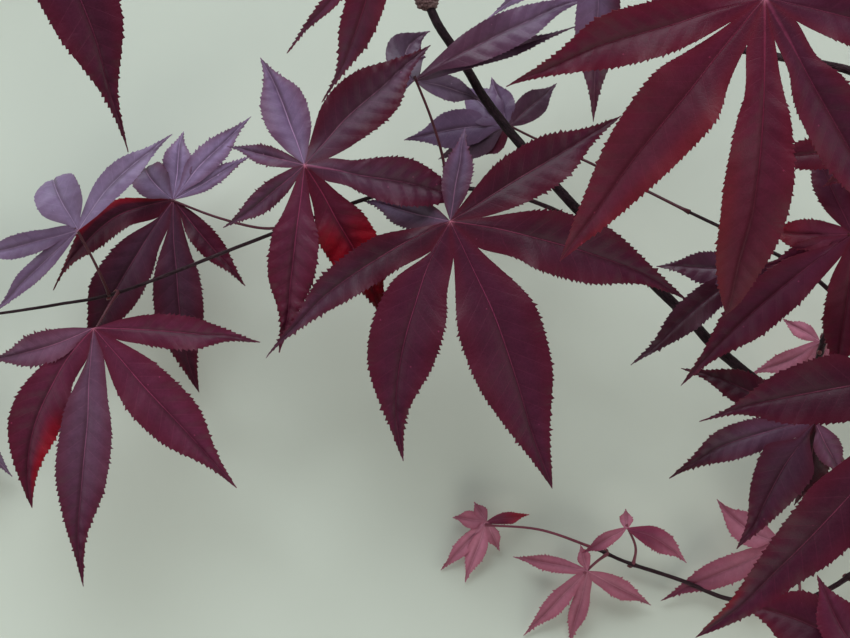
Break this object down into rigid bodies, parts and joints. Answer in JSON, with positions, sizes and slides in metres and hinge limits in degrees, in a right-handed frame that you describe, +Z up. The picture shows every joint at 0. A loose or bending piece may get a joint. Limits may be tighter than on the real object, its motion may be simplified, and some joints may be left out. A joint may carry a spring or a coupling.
{
  "type": "japanese maple branch",
  "caption": "Cut branch of a red-leaved Japanese maple, lying on its leaf tips, with thin twigs and deeply lobed, saw-edged leaves.",
  "frame": {"origin": "on the surface that the branch lies on, under the middle of its box", "axes": "+Z up; +X along the longest side, towards the cut end of the stem; +Y towards the old knob at the stem's other end"},
  "size_m": [0.3896, 0.3102, 0.1183],
  "materials": {
    "stem_bark": "smooth dark bark",
    "twig_bark": "smooth purple-brown young bark",
    "leaf_burgundy": "satin dark burgundy leaf",
    "leaf_crimson": "satin crimson leaf",
    "leaf_violet": "satin grey-violet leaf",
    "leaf_pink": "matt dusky pink young leaf"
  },
  "bodies": {
    "root": {"main_stem": "stem_bark", "left_twig": "twig_bark", "right_twig": "twig_bark", "right_side_twig": "twig_bark", "upper_side_twig": "twig_bark", "top_left_shoot": "twig_bark", "top_right_shoot": "twig_bark", "lower_shoot": "twig_bark", "leaf_centre": "leaf_burgundy", "leaf_upper_left": "leaf_burgundy", "leaf_left": "leaf_burgundy", "leaf_far_left": "leaf_violet", "leaf_lower_left": "leaf_burgundy", "leaf_upper_middle": "leaf_violet", "leaf_behind_stem": "leaf_violet", "leaf_front": "leaf_crimson", "leaf_top_middle": "leaf_violet", "leaf_right": "leaf_crimson", "leaf_right_upper": "leaf_crimson", "leaf_right_back": "leaf_violet", "leaf_right_dark": "leaf_burgundy", "leaf_right_lower": "leaf_burgundy", "leaf_bottom_right": "leaf_burgundy", "leaf_corner": "leaf_crimson", "leaf_top_left": "leaf_burgundy", "leaf_top_hanging": "leaf_crimson", "small_leaf_left": "leaf_pink", "small_leaf_middle": "leaf_pink", "small_leaf_upper": "leaf_pink", "small_leaf_right": "leaf_pink", "small_leaf_high": "leaf_pink", "leaf_left_end": "leaf_burgundy", "leaf_left_end_lower": "leaf_violet", "leaf_top_left_end": "leaf_burgundy", "leaf_top_right_end": "leaf_burgundy", "leaf_right_end": "leaf_crimson"}
  },
  "joints": []
}
